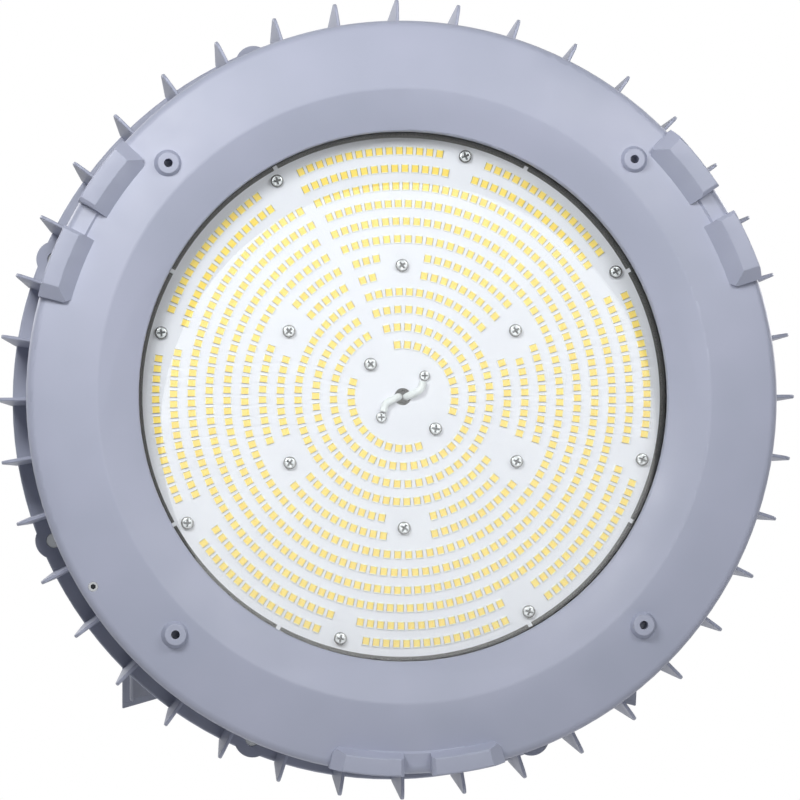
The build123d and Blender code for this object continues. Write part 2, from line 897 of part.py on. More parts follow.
def feedthrough_bushing():
    body = post(feed_hole_r, box_floor_z, cup_floor_z)
    top_z = cup_floor_z + feed_flange_height
    body += post(feed_hole_r + feed_flange, cup_floor_z, top_z)
    hole = post(supply_lead_r + grommet_gap, box_floor_z - cut_over, top_z + cut_over)
    body -= [Pos(supply_lead_pitch * index, 0, 0) * hole for index in (-1, 0, 1)]
    return Pos(0, feed_y, 0) * body


def supply_leads():
    """Three leads from the terminal block, through the bushing, to the driver's side."""
    leads = []
    side_y = driver_width / 2
    block_y = terminal_block_y + terminal_block_width / 2
    low_z = box_floor_z - terminal_block_height / 2
    high_z = cup_floor_z + driver_height / 2
    for index in (-1, 0, 1):
        x = supply_lead_pitch * index
        route = [(x, block_y, low_z), (x, feed_y, low_z), (x, feed_y, high_z), (x, side_y, high_z)]
        leads.append(tube(route, supply_bend_r, supply_lead_r))
    return leads


def terminal_block():
    body = Box(
        terminal_block_length, terminal_block_width, terminal_block_height,
        align=(Align.CENTER, Align.CENTER, Align.MAX),
    )
    body = fillet(body.edges().filter_by(Axis.Z), terminal_block_round)
    well_z = terminal_well_depth - terminal_block_height
    well = post(terminal_well_r, -terminal_block_height - cut_over, well_z)
    pitch = terminal_block_length / (terminal_block_ways + 1)
    offsets = [pitch * (way - (terminal_block_ways - 1) / 2) for way in range(terminal_block_ways)]
    body -= [Pos(x, y, 0) * well for x in offsets for y in (-terminal_well_y, terminal_well_y)]
    return Pos(0, terminal_block_y, box_floor_z) * body


def terminal_cover():
    disc = turned([
        (0, cover_z, 0),
        (box_r, cover_z, 0),
        (box_r, cover_z - cover_thickness, cover_round),
        (0, cover_z - cover_thickness, 0),
    ])
    hole = post(m5_r + bolt_hole_gap, cover_z - cover_thickness - cut_over, cover_z + cut_over)
    return disc - [place * hole for place in cover_screw_places(0)]


def terminal_cover_seal():
    ring = washer(box_r - cover_seal_inset, box_bore_r, cover_seal_thickness)
    hole = Cylinder(m5_r + bolt_hole_gap, 3 * cover_seal_thickness)
    ring -= [place * hole for place in cover_screw_places(0)]
    return Pos(0, 0, cover_z) * ring


def terminal_cover_bolts():
    length = cover_thickness + cover_seal_thickness + m5_grip
    bolt = Rot(180, 0, 0) * socket_bolt(m5_r, m5_head_r, m5_head_height, length)
    return [place * bolt for place in cover_screw_places(cover_z - cover_thickness)]


# Cable gland and blanking plug
def gland_body():
    """Screwed into the lower entry, with a collar that holds the rubber seal."""
    body = hex_prism(gland_hex, gland_hex_length) + post(entry_r, -gland_screw_length, 0)
    body += post(gland_collar_r, 0, gland_hex_length + gland_collar_length)
    bore_r = gland_cable_r + gland_bore_gap
    body -= post(bore_r, -gland_screw_length - cut_over, gland_hex_length + cut_over)
    collar_z = gland_hex_length + gland_collar_length
    body -= post(gland_seal_r + gland_nut_gap, collar_z - gland_seal_length, collar_z + cut_over)
    return entry_place(-1, entry_face()) * body


def gland_seal():
    seat = gland_hex_length + gland_collar_length - gland_seal_length
    ring = washer(gland_seal_r, gland_cable_r, gland_seal_length)
    return entry_place(-1, entry_face() + seat) * ring


def gland_nut():
    """Cap nut over the collar; its end wall presses on the seal."""
    collar_end = gland_hex_length + gland_collar_length
    start = collar_end + gland_nut_wall - gland_nut_length
    body = Pos(0, 0, start) * hex_prism(gland_nut_hex, gland_nut_length)
    body &= turned([
        (0, start, 0),
        (gland_nut_crown_r, start, 0),
        (gland_nut_crown_r, start + gland_nut_length, gland_nut_round),
        (0, start + gland_nut_length, 0),
    ])
    body -= post(gland_collar_r + gland_nut_gap, start - cut_over, collar_end)
    body -= post(gland_cable_r, collar_end - cut_over, start + gland_nut_length + cut_over)
    return entry_place(-1, entry_face()) * body


def blanking_plug():
    head = chamfer(hex_prism(gland_hex, plug_hex_length).faces().sort_by(Axis.Z)[-1].edges(), plug_chamfer)
    return entry_place(1, entry_face()) * (head + post(entry_r, -plug_screw_length, 0))


# Earth terminal
def earth_washer():
    ring = washer(earth_washer_r, m6_r + bolt_hole_gap, earth_washer_thickness)
    return earth_place(cup_flange_z - earth_washer_thickness) * ring


def earth_screw():
    length = earth_washer_thickness + rear_flange_thickness + m6_grip
    bolt = Rot(180, 0, 0) * socket_bolt(m6_r, m6_head_r, m6_head_height / 2, length)
    return earth_place(cup_flange_z - earth_washer_thickness) * bolt


# Bracket and its pivots
def bracket_place():
    """The bracket's own frame: pivots at the origin, arms along -Z, swung down by its angle."""
    return Pos(0, 0, pivot_z) * Rot(-bracket_swing, 0, 0)


def arm_outline():
    """Side view of an arm, in the Y-Z plane: round at the pivot, wider at the welded web."""
    spread = degrees(asin((bracket_half_width - bracket_pivot_end_r) / bracket_reach))
    tangent_y = bracket_pivot_end_r * cos(radians(spread))
    tangent_z = bracket_pivot_end_r * sin(radians(spread))
    sides = Polyline(
        (tangent_y, tangent_z), (bracket_half_width, -bracket_reach),
        (-bracket_half_width, -bracket_reach), (-tangent_y, tangent_z),
    )
    top = ThreePointArc((-tangent_y, tangent_z), (0, bracket_pivot_end_r), (tangent_y, tangent_z))
    return Plane.YZ * make_face(sides + top)


def web_cut():
    """Trims the web's edges from the corners in to its narrow middle."""
    start = bracket_outer
    end = bracket_outer - bracket_web_taper
    cut = Polyline(
        (-start, bracket_half_width), (-end, bracket_web_half_width), (end, bracket_web_half_width),
        (start, bracket_half_width), (start, 2 * bracket_half_width), (-start, 2 * bracket_half_width),
        close=True,
    )
    return Pos(0, 0, -bracket_reach) * extrude(make_face(cut), bracket_thickness)


def bracket():
    outline = arm_outline()
    body = extrude(outline, bracket_outer, both=True)
    inside = Box(2 * bracket_inner, 4 * bracket_half_width, 2 * (bracket_reach - bracket_thickness))
    inside = fillet(inside.edges().filter_by(Axis.Y), bracket_weld_r)
    body -= inside
    corners = body.edges().filter_by(Axis.Y).group_by(Axis.Z)[0]
    body = fillet(corners, bracket_corner_round)
    body -= [web_cut(), Rot(0, 0, 180) * web_cut()]
    hole = Rot(0, 90, 0) * Cylinder(m10_r + pivot_running_gap, 3 * bracket_outer)
    body -= hole
    slot = SlotOverall(bracket_slot_length, bracket_slot_width)
    slot = Pos(0, 0, -bracket_reach) * extrude(slot, bracket_thickness)
    body -= [Pos(side * bracket_slot_spacing / 2, 0, 0) * slot for side in (-1, 1)]
    body -= post(bracket_hole_r, -bracket_reach, bracket_thickness - bracket_reach)
    return bracket_place() * body


def pivot_tooth_washers():
    """Toothed spacers between the pivot bosses and the bracket's arms."""
    ring = washer(pivot_boss_r, m10_r + bolt_hole_gap, tooth_washer_thickness)
    notch = Box(tooth_depth, tooth_gap, 3 * tooth_washer_thickness)
    ring -= [place * notch for place in ring_of(tooth_count, pivot_boss_r, 0)]
    return [pivot_place(side, pivot_boss_face) * ring for side in (-1, 1)]


def pivot_flat_washers():
    ring = washer(pivot_washer_r, m10_r + bolt_hole_gap, pivot_washer_thickness)
    return [pivot_place(side, bracket_outer + pivot_side_gap) * ring for side in (-1, 1)]


def pivot_spring_washers():
    ring = washer(spring_washer_r, m10_r + bolt_hole_gap, spring_washer_thickness)
    slit = Box(2 * m10_r, spring_washer_slit, 4 * spring_washer_thickness)
    ring -= Pos(spring_washer_r, 0, 0) * Rot(spring_washer_lead, 0, 0) * slit
    x = bracket_outer + pivot_side_gap + pivot_washer_thickness
    return [pivot_place(side, x) * ring for side in (-1, 1)]


def pivot_bolts():
    """Hex bolts through the arms into the pivot bosses."""
    seat = bracket_outer + pivot_side_gap + pivot_washer_thickness + spring_washer_thickness
    head = hex_prism(m10_hex, m10_head_height)
    head &= Cone(m10_crown_foot_r, m10_crown_r, 2 * m10_head_height)
    bolt = head + post(m10_r, pivot_boss_face - m10_grip - seat, 0)
    return [pivot_place(side, seat) * bolt for side in (-1, 1)]


def export_node(name, shape):
    """Lay the piece over to the part's own frame and write it."""
    solids = solids_of(*shape) if isinstance(shape, list) else solids_of(shape)
    laid = [Rot(90, 0, 0) * solid for solid in solids]
    export_step(laid[0] if len(laid) == 1 else Compound(children=laid), f"parts/{name}.step")


def nodes():
    return {
        "front_ring": front_ring(),
        "ring_lock_screw": ring_lock_screw(),
        "lens_gasket": lens_gasket(),
        "lens_glass": lens_glass(),
        "lens_clamp_ring": lens_clamp_ring(),
        "lens_clamp_screws": lens_clamp_screws(),
        "front_seal": front_seal(),
        "housing": housing(),
        "led_board": led_board(),
        "led_rows": led_rows(),
        "board_screws_outer": board_screws(outer_screw_places(board_front_z)),
        "board_screws_middle": board_screws(middle_screw_places(board_front_z)),
        "board_screws_inner": board_screws(inner_screw_places(board_front_z)),
        "terminal_screws": terminal_screws(),
        "lead_positive": lead(1),
        "lead_negative": lead(-1),
        "lead_grommet": lead_grommet(),
        "driver_housing": driver_housing(),
        "rear_seal": rear_seal(),
        "housing_bolts": housing_bolts(),
        "housing_bolt_washers": housing_bolt_washers(),
        "led_driver": led_driver(),
        "driver_screws": driver_screws(),
        "feedthrough_bushing": feedthrough_bushing(),
        "supply_leads": supply_leads(),
        "terminal_block": terminal_block(),
        "terminal_cover": terminal_cover(),
        "terminal_cover_seal": terminal_cover_seal(),
        "terminal_cover_bolts": terminal_cover_bolts(),
        "gland_body": gland_body(),
        "gland_seal": gland_seal(),
        "gland_nut": gland_nut(),
        "blanking_plug": blanking_plug(),
        "earth_washer": earth_washer(),
        "earth_screw": earth_screw(),
        "bracket": bracket(),
        "pivot_tooth_washers": pivot_tooth_washers(),
        "pivot_flat_washers": pivot_flat_washers(),
        "pivot_spring_washers": pivot_spring_washers(),
        "pivot_bolts": pivot_bolts(),
    }


if __name__ == "__main__":
    os.makedirs("parts", exist_ok=True)
    for name, shape in nodes().items():
        export_node(name, shape)
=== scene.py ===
from math import cos, pi, radians, sin

import bpy
import bmesh
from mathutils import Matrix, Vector


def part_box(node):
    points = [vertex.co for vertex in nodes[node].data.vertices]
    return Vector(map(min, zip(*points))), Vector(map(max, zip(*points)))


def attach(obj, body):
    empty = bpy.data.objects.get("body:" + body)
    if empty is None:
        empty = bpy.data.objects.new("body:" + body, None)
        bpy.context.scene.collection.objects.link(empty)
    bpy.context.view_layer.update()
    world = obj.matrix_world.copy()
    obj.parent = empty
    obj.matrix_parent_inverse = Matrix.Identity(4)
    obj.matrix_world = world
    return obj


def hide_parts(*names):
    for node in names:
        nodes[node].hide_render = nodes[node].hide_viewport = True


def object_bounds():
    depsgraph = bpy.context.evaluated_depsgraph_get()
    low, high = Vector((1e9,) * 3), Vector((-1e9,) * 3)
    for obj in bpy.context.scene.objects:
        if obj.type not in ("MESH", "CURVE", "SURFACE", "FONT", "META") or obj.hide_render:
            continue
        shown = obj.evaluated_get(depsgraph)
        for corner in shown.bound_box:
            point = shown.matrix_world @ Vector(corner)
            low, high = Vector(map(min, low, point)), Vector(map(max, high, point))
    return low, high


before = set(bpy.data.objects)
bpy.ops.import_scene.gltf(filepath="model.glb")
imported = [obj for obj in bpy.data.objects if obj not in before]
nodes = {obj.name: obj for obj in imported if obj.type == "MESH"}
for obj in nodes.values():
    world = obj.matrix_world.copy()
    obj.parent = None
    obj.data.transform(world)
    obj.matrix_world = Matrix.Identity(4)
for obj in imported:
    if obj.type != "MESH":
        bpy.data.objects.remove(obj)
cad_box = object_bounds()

MM = 0.001


# Camera, on the photograph's side of the lamp
VIEW_AZIMUTH = -5.0
VIEW_ELEVATION = -2.0
VIEW_DISTANCE = 1.30
PICTURE_PIXELS = 800
FOCAL_PIXELS = 3280
SENSOR_MM = 36.0
AIM_RIGHT = -1.0 * MM
AIM_UP = -1.3 * MM
NEAR_CLIP = 0.05
FAR_CLIP = 30.0


def place_camera():
    board_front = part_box("led_board")[0][1]
    target = Vector((AIM_RIGHT, board_front, AIM_UP))
    azimuth = radians(VIEW_AZIMUTH)
    elevation = radians(VIEW_ELEVATION)
    back = Vector((sin(azimuth) * cos(elevation), -cos(azimuth) * cos(elevation), sin(elevation)))
    data = bpy.data.cameras.new("camera")
    data.sensor_width = SENSOR_MM
    data.lens = SENSOR_MM * FOCAL_PIXELS / PICTURE_PIXELS
    data.clip_start = NEAR_CLIP
    data.clip_end = FAR_CLIP
    camera = bpy.data.objects.new("camera", data)
    camera.location = target + VIEW_DISTANCE * back
    camera.rotation_euler = (-back).to_track_quat("-Z", "Y").to_euler()
    bpy.context.scene.collection.objects.link(camera)
    bpy.context.scene.camera = camera


# Colours and node helpers
def linear(hex_colour):
    """Linear colour from an sRGB hex value."""
    channels = [int(hex_colour[i:i + 2], 16) / 255 for i in (1, 3, 5)]
    return tuple(c / 12.92 if c <= 0.04045 else ((c + 0.055) / 1.055) ** 2.4 for c in channels) + (1.0,)


def grey(value):
    return (value, value, value, 1.0)


def add(tree, kind, inputs=None, **settings):
    """Add a node with its settings; an input is a value or the socket that feeds it."""
    made = tree.nodes.new(kind)
    for name, value in settings.items():
        setattr(made, name, value)
    for name, value in (inputs or {}).items():
        socket = made.inputs[name]
        if isinstance(value, bpy.types.NodeSocket):
            tree.links.new(value, socket)
        else:
            socket.default_value = value
    return made


def per_metre(size_mm):
    """Noise scale that gives features of a size in millimetres."""
    return 1.0 / (size_mm * MM)


def surface(name, **sockets):
    """New material with its shader's sockets set, and its object coordinates."""
    material = bpy.data.materials.new(name)
    material.use_nodes = True
    tree = material.node_tree
    tree.nodes.clear()
    values = {socket.replace("_", " "): value for socket, value in sockets.items()}
    shader = add(tree, "ShaderNodeBsdfPrincipled", values, name="Shader")
    add(tree, "ShaderNodeOutputMaterial", {"Surface": shader.outputs["BSDF"]}, name="Output")
    coords = add(tree, "ShaderNodeTexCoord", name="Coordinates").outputs["Object"]
    return material, tree, shader, coords


def noise(tree, coords, size_mm, detail=2.0):
    """Noise with features of a size in millimetres."""
    return add(tree, "ShaderNodeTexNoise", {"Vector": coords, "Scale": per_metre(size_mm), "Detail": detail})


# Noise mostly stays near its middle, so a ramp between these spreads it over both colours
RAMP_START = 0.3
RAMP_END = 0.7


def tint(tree, shader, factor, low, high, socket="Base Color"):
    """Colour or grey value of a pattern, from a low to a high one."""
    ramp = add(tree, "ShaderNodeValToRGB", {"Fac": factor})
    ramp.color_ramp.elements[0].position = RAMP_START
    ramp.color_ramp.elements[1].position = RAMP_END
    ramp.color_ramp.elements[0].color = low
    ramp.color_ramp.elements[1].color = high
    tree.links.new(ramp.outputs["Color"], shader.inputs[socket])


def bump(tree, shader, height, distance_mm, strength):
    """Fine relief of a depth in millimetres."""
    relief = add(tree, "ShaderNodeBump", {
        "Height": height, "Distance": distance_mm * MM, "Strength": strength,
    })
    tree.links.new(relief.outputs["Normal"], shader.inputs["Normal"])


# Materials
def coated_casting(name):
    """Powder coat on die-cast aluminium: satin blue-grey, with a fine orange peel."""
    material, tree, shader, coords = surface(name, Metallic=0.0, IOR=1.5)
    tint(tree, shader, noise(tree, coords, 40).outputs["Fac"], linear("#A0A5B7"), linear("#A7ABBE"))
    peel = noise(tree, coords, 1.6, 3.0).outputs["Fac"]
    tint(tree, shader, noise(tree, coords, 12).outputs["Fac"], grey(0.42), grey(0.50), "Roughness")
    bump(tree, shader, peel, 0.04, 0.5)
    return material


# Painted shade: the housing is painted near-black within this radius and in front of this depth, standing in
# for the deep shade inside it
PAINTED_SHADE_R = 130.3 * MM
PAINTED_SHADE_DEPTH = 33.0 * MM


def casting_with_painted_shade_inside():
    """The same casting, painted near-black inside: painted shade that gives the dark line of shade around the
    board.
    """
    material = coated_casting("powder_coated_housing_painted_shade_inside")
    tree = material.node_tree
    shader = tree.nodes["Shader"]
    coat = shader.inputs["Base Color"].links[0].from_socket
    coords = tree.nodes["Coordinates"].outputs["Object"]
    parts = add(tree, "ShaderNodeSeparateXYZ", {"Vector": coords}).outputs
    across = add(tree, "ShaderNodeCombineXYZ", {"X": parts["X"], "Z": parts["Z"]})
    radius = add(tree, "ShaderNodeVectorMath", {0: across.outputs[0]}, operation="LENGTH")
    within = add(tree, "ShaderNodeMath", {0: radius.outputs["Value"], 1: PAINTED_SHADE_R}, operation="LESS_THAN")
    in_front = add(tree, "ShaderNodeMath", {0: parts["Y"], 1: PAINTED_SHADE_DEPTH}, operation="LESS_THAN")
    inside = add(tree, "ShaderNodeMath", {0: within.outputs[0], 1: in_front.outputs[0]}, operation="MULTIPLY")
    # Painted shade: near-black colour on the housing's inside, where the real coat lies in deep shade
    painted_shade_mix = add(tree, "ShaderNodeMix", {
        0: inside.outputs[0], 6: coat, 7: linear("#0D0F10"),
    }, data_type="RGBA")
    tree.links.new(painted_shade_mix.outputs[2], shader.inputs["Base Color"])
    return material


def coated_strip_painted_darker():
    """The same coat on welded steel strip: smoother, and a little darker as painted shade."""
    material, tree, shader, coords = surface("powder_coated_steel_strip_painted_shade", Metallic=0.0, IOR=1.5)
    # Painted shade: this copy of the coat is a little darker than the casting's
    tint(tree, shader, noise(tree, coords, 30).outputs["Fac"], linear("#9297A8"), linear("#9CA1B1"))
    tint(tree, shader, noise(tree, coords, 8).outputs["Fac"], grey(0.38), grey(0.46), "Roughness")
    bump(tree, shader, noise(tree, coords, 1.2, 2.0).outputs["Fac"], 0.02, 0.4)
    return material


def toughened_glass():
    """Clear float glass, toughened: a faint green, smooth, lets the lamps' light through to the board."""
    faint_green = linear("#FBFDFC")
    material, tree, shader, coords = surface(
        "toughened_glass", Base_Color=faint_green, IOR=1.5, Transmission_Weight=1.0,
    )
    tint(tree, shader, noise(tree, coords, 60).outputs["Fac"], grey(0.0), grey(0.015), "Roughness")
    clear = add(tree, "ShaderNodeBsdfTransparent", {"Color": faint_green})
    path = add(tree, "ShaderNodeLightPath").outputs
    unbent = add(tree, "ShaderNodeMath", {
        0: path["Is Shadow Ray"], 1: path["Is Diffuse Ray"],
    }, operation="MAXIMUM")
    mixed = add(tree, "ShaderNodeMixShader", {"Fac": unbent.outputs[0]})
    tree.links.new(shader.outputs["BSDF"], mixed.inputs[1])
    tree.links.new(clear.outputs["BSDF"], mixed.inputs[2])
    tree.links.new(mixed.outputs["Shader"], tree.nodes["Output"].inputs["Surface"])
    return material


def silicone_rubber():
    """Moulded silicone rubber: matt black with a faint mould grain."""
    material, tree, shader, coords = surface("moulded_silicone_rubber", IOR=1.41)
    tint(tree, shader, noise(tree, coords, 6).outputs["Fac"], linear("#1B1C1E"), linear("#26282A"))
    tint(tree, shader, noise(tree, coords, 3).outputs["Fac"], grey(0.6), grey(0.75), "Roughness")
    bump(tree, shader, noise(tree, coords, 0.8).outputs["Fac"], 0.02, 0.4)
    return material


def metal(name, low, high, scratch_mm):
    """Plated, blackened or extruded metal: fine marks and an uneven gloss break up what it mirrors."""
    material, tree, shader, coords = surface(name, Metallic=1.0)
    tint(tree, shader, noise(tree, coords, 4).outputs["Fac"], linear(low), linear(high))
    tint(tree, shader, noise(tree, coords, 2).outputs["Fac"], grey(0.26), grey(0.33), "Roughness")
    bump(tree, shader, noise(tree, coords, scratch_mm, 3.0).outputs["Fac"], 0.01, 0.4)
    return material


# Painted shade: the screw heads' colour darkens over this depth below their face
HEAD_SHADE_DEPTH = 0.7 * MM
HEAD_WEAR = 0.4


def screw_steel_with_painted_shade(name, front):
    """Nickel-plated screw with painted light: a painted highlight on the head's face, painted shade down in
    its recess and around its edge.
    """
    material, tree, shader, coords = surface(name, Metallic=1.0)
    depth = add(tree, "ShaderNodeSeparateXYZ", {"Vector": coords}).outputs["Y"]
    below = add(tree, "ShaderNodeMath", {0: depth, 1: front}, operation="SUBTRACT").outputs[0]
    share = add(tree, "ShaderNodeMath", {0: below, 1: HEAD_SHADE_DEPTH}, operation="DIVIDE").outputs[0]
    wear = noise(tree, coords, 0.9).outputs["Fac"]
    worn = add(tree, "ShaderNodeMath", {0: wear, 1: HEAD_WEAR}, operation="MULTIPLY")
    factor = add(tree, "ShaderNodeMath", {0: share, 1: worn.outputs[0]}, operation="ADD").outputs[0]
    # Painted highlight on the head's face, painted shade in the recess and around the edge
    tint(tree, shader, factor, linear("#A9ABAE"), linear("#2E3033"))
    tint(tree, shader, noise(tree, coords, 1.1).outputs["Fac"], grey(0.16), grey(0.3), "Roughness")
    return material


def solder_mask():
    """White solder mask on an aluminium-core board: smooth, faintly blue, with a slight gloss."""
    material, tree, shader, coords = surface("white_solder_mask", IOR=1.5)
    tint(tree, shader, noise(tree, coords, 25).outputs["Fac"], linear("#DFDEE8"), linear("#E3E2EB"))
    tint(tree, shader, noise(tree, coords, 5).outputs["Fac"], grey(0.40), grey(0.50), "Roughness")
    bump(tree, shader, noise(tree, coords, 0.7).outputs["Fac"], 0.01, 0.3)
    return material


def package_resin():
    """White moulded resin of an LED package's frame."""
    material, tree, shader, coords = surface("moulded_white_resin", IOR=1.5)
    tint(tree, shader, noise(tree, coords, 2).outputs["Fac"], linear("#DCDDD8"), linear("#ECECE6"))
    tint(tree, shader, noise(tree, coords, 1).outputs["Fac"], grey(0.45), grey(0.6), "Roughness")
    return material


def phosphor_gel():
    """Silicone gel filled with yellow phosphor: soft gloss, its yellow a little uneven."""
    material, tree, shader, coords = surface("yellow_phosphor_gel", IOR=1.42, Subsurface_Weight=0.1)
    shader.inputs["Subsurface Radius"].default_value = (0.6 * MM, 0.4 * MM, 0.1 * MM)
    tint(tree, shader, noise(tree, coords, 9).outputs["Fac"], linear("#FAD64C"), linear("#FEDE56"))
    tint(tree, shader, noise(tree, coords, 0.5).outputs["Fac"], grey(0.28), grey(0.42), "Roughness")
    return material


def solder_and_painted_edge_shade():
    """Solder at both ends of a package, darkened as painted shade of the package's edges: the thin dark lines
    between packages.
    """
    material, tree, shader, coords = surface("solder_with_painted_edge_shade", IOR=1.45)
    # Dark brown: solder, and painted shade of the package's edges
    tint(tree, shader, noise(tree, coords, 1).outputs["Fac"], linear("#3A2F1C"), linear("#524429"))
    tint(tree, shader, noise(tree, coords, 0.6).outputs["Fac"], grey(0.5), grey(0.6), "Roughness")
    return material


def wire_sleeve():
    """Extruded white silicone sleeve: soft sheen, slightly translucent."""
    material, tree, shader, coords = surface("extruded_silicone_sleeve", IOR=1.42, Subsurface_Weight=0.15)
    shader.inputs["Subsurface Radius"].default_value = (1.0 * MM, 1.0 * MM, 1.0 * MM)
    tint(tree, shader, noise(tree, coords, 3).outputs["Fac"], linear("#D9DCDE"), linear("#E8EAEB"))
    tint(tree, shader, noise(tree, coords, 1.5).outputs["Fac"], grey(0.35), grey(0.5), "Roughness")
    return material


def moulded_plastic():
    """Glass-filled nylon: dark, semi-matt, with a fine mould grain."""
    material, tree, shader, coords = surface("moulded_nylon", IOR=1.53)
    tint(tree, shader, noise(tree, coords, 5).outputs["Fac"], linear("#2A2B2D"), linear("#343638"))
    tint(tree, shader, noise(tree, coords, 2).outputs["Fac"], grey(0.45), grey(0.6), "Roughness")
    bump(tree, shader, noise(tree, coords, 0.6).outputs["Fac"], 0.02, 0.4)
    return material


CAD_FINISHES = {
    "casting": ["front_ring", "driver_housing", "terminal_cover"],
    "shade_painted_inside": ["housing"],
    "strip": ["bracket"],
    "glass": ["lens_glass"],
    "rubber": ["lens_gasket", "front_seal", "lead_grommet", "rear_seal", "terminal_cover_seal", "gland_seal"],
    "steel": [
        "lens_clamp_screws", "housing_bolts", "housing_bolt_washers", "driver_screws",
        "terminal_cover_bolts", "earth_washer", "earth_screw", "pivot_tooth_washers",
        "pivot_flat_washers", "pivot_spring_washers", "pivot_bolts",
    ],
    "black": ["lens_clamp_ring"],
    "board_screw": ["board_screws_outer", "board_screws_middle", "board_screws_inner"],
    "terminal_screw": ["terminal_screws"],
    "lock_screw": ["ring_lock_screw"],
    "board": ["led_board"],
    "sleeve": ["lead_positive", "lead_negative", "supply_leads"],
    "plastic": ["feedthrough_bushing", "terminal_block"],
    "brass": ["gland_body", "gland_nut", "blanking_plug"],
    "aluminium": ["led_driver"],
}


def head_front(node):
    """The plane of a group of screws' head faces."""
    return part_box(node)[0][1]


def make_finishes():
    """Every finish by its short name; the metals differ in colour and in how coarse their marks are."""
    return {
        "casting": coated_casting("powder_coated_casting"),
        "shade_painted_inside": casting_with_painted_shade_inside(),
        "strip": coated_strip_painted_darker(),
        "glass": toughened_glass(),
        "rubber": silicone_rubber(),
        # zinc plate: a cool, soft shine
        "steel": metal("zinc_plated_steel", "#8D9094", "#989B9F", 0.5),
        # black oxide: nearly black; this darkness is also painted shade, so the clamp ring stays dark beside
        # the board
        "black": metal("black_oxide_steel_and_painted_shade", "#26282A", "#303234", 0.6),
        "board_screw": screw_steel_with_painted_shade("nickel_plated_screw_painted_shade", head_front("board_screws_outer")),
        "terminal_screw": screw_steel_with_painted_shade("nickel_plated_terminal_screw_painted_shade", head_front("terminal_screws")),
        "lock_screw": screw_steel_with_painted_shade("nickel_plated_grub_screw_painted_shade", head_front("ring_lock_screw")),
        # nickel on brass: a warmer shine than the steel's
        "brass": metal("nickel_plated_brass", "#A09B8F", "#A6A297", 0.9),
        # bare extruded aluminium: pale and cool
        "aluminium": metal("extruded_aluminium", "#A3A6A9", "#ACAFB2", 0.7),
        "board": solder_mask(),
        "sleeve": wire_sleeve(),
        "plastic": moulded_plastic(),
        "resin": package_resin(),
        "phosphor": phosphor_gel(),
        "solder": solder_and_painted_edge_shade(),
    }


# Smooth shading of the CAD pieces
SMOOTH_ANGLE = radians(28)
JOIN_DISTANCE = 0.004 * MM


def smoothing_tree():
    """Joins the loose triangles and shades all but the sharp edges smooth."""
    tree = bpy.data.node_groups.new("smooth_by_angle", "GeometryNodeTree")
    tree.interface.new_socket("Geometry", in_out="INPUT", socket_type="NodeSocketGeometry")
    tree.interface.new_socket("Sharp angle", in_out="INPUT", socket_type="NodeSocketFloat")
    tree.interface.new_socket("Geometry", in_out="OUTPUT", socket_type="NodeSocketGeometry")
    given = add(tree, "NodeGroupInput").outputs
    joined = add(tree, "GeometryNodeMergeByDistance", {
        "Geometry": given["Geometry"], "Distance": JOIN_DISTANCE,
    })
    faces = add(tree, "GeometryNodeSetShadeSmooth", {
        "Geometry": joined.outputs[0], "Shade Smooth": True,
    }, domain="FACE")
    angle = add(tree, "GeometryNodeInputMeshEdgeAngle")
    flat = add(tree, "ShaderNodeMath", operation="LESS_THAN")
    tree.links.new(angle.outputs["Unsigned Angle"], flat.inputs[0])
    tree.links.new(given["Sharp angle"], flat.inputs[1])
    edges = add(tree, "GeometryNodeSetShadeSmooth", {
        "Geometry": faces.outputs[0], "Shade Smooth": flat.outputs[0],
    }, domain="EDGE")
    add(tree, "NodeGroupOutput", {"Geometry": edges.outputs[0]})
    return tree


def set_input(modifier, tree, name, value):
    """A modifier's input is set by its socket's identifier."""
    for item in tree.interface.items_tree:
        if item.item_type == "SOCKET" and item.in_out == "INPUT" and item.name == name:
            modifier[item.identifier] = value


def smooth(piece, tree):
    modifier = piece.modifiers.new("smooth_by_angle", "NODES")
    modifier.node_group = tree
    set_input(modifier, tree, "Sharp angle", SMOOTH_ANGLE)


def dress_cad(finishes):
    tree = smoothing_tree()
    for finish, names in CAD_FINISHES.items():
        for name in names:
            piece = nodes[name]
            piece.data.materials.clear()
            piece.data.materials.append(finishes[finish])
            smooth(piece, tree)


# LED packages, laid out by the same rule as the solids of the rows
LED_ROWS = 12
LED_FIRST_R = 20.6 * MM
LED_ROW_PITCH = 7.0 * MM
LED_ROW_SLOTS = (32, 41, 50, 64, 74, 85, 92, 105, 120, 132, 140, 152)
LED_ROW_SEAMS = (107.6, 112.3, 115.0, 114.6, 114.1, 113.7, 115.5, 116.3, 115.4, 116.5, 117.8, 116.9)
LED_GAP_ROW = 3
LED_GAP_ANGLES = (radians(30.3), radians(334.0))
LED_GAP_KEEPOUT = 6.2 * MM
PACKAGE_LENGTH = 3.5 * MM
PACKAGE_WIDTH = 2.8 * MM
PACKAGE_HEIGHT = 0.5 * MM
PACKAGE_FRAME = 0.36 * MM
# Width of the dark strip at each end of a package: solder, and painted shade of the package's edge
PACKAGE_SOLDER = 0.16 * MM
GEL_DEPTH = 0.06 * MM
# A face of the package counts as its top where its normal's upward share is over this
TOP_FACE = 0.9
# Board screws: circle radius, count, first angle in degrees, and the clearance that packages keep
SCREW_CIRCLES = (
    (98.7 * MM, 8, 30.45, 10.05 * MM),
    (52.0 * MM, 6, 30.45, 8.75 * MM),
    (18.15 * MM, 2, 135.45, 9.0 * MM),
)


def on_board(radius, angle):
    """Point on the board's plane, seen from the front: right is +X and up is +Z."""
    return Vector((radius * cos(angle), 0.0, radius * sin(angle)))


